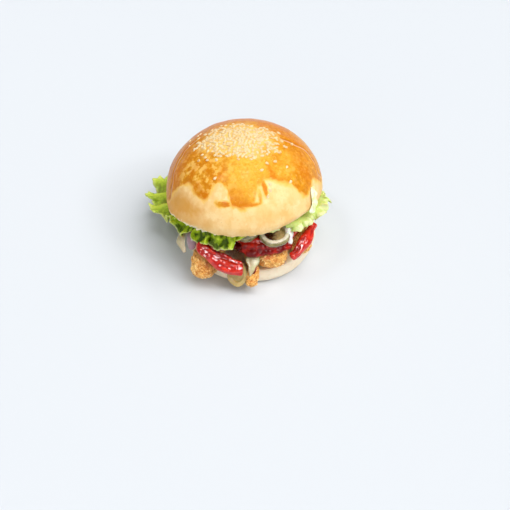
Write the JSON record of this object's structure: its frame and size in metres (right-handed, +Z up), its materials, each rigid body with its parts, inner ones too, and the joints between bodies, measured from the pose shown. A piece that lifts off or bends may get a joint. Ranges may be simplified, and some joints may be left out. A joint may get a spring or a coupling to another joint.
{
  "type": "chicken burger",
  "caption": "Tall sesame-topped bun gaping at the front over breaded chicken strips, tomato, pickles, red onion and frilly lettuce.",
  "frame": {"origin": "middle of the flat underside of the lower half of the bun", "axes": "+Z up; the gaping mouth, where the filling shows, faces -Y; +X is to the right as one looks at the mouth"},
  "size_m": [0.1431, 0.1228, 0.106],
  "materials": {
    "bun_crust": "baked golden crust with a glossy egg wash",
    "bun_crumb": "pale soft bread",
    "breading": "rough fried crumb",
    "tomato": "wet and glossy",
    "pickle": "wet, slightly translucent",
    "red_onion": "moist",
    "white_cabbage": "crisp, dull",
    "lettuce": "fresh leaf, thin and slightly shiny"
  },
  "bodies": {
    "root": {"bun_crown": "bun_crust", "bun_heel": "bun_crumb", "chicken_strip_left": "breading", "chicken_strip_centre": "breading", "chicken_strip_right": "breading", "chicken_strip_front": "breading", "tomato_slice_left": "tomato", "tomato_slice_middle": "tomato", "tomato_slice_right": "tomato", "pickle_slice_right": "pickle", "pickle_slice_middle": "pickle", "pickle_slice_front": "pickle", "pickle_sliver": "pickle", "onion_petal": "red_onion", "cabbage_shred": "white_cabbage", "lettuce_leaf_left": "lettuce", "lettuce_leaf_right": "lettuce"}
  },
  "joints": []
}
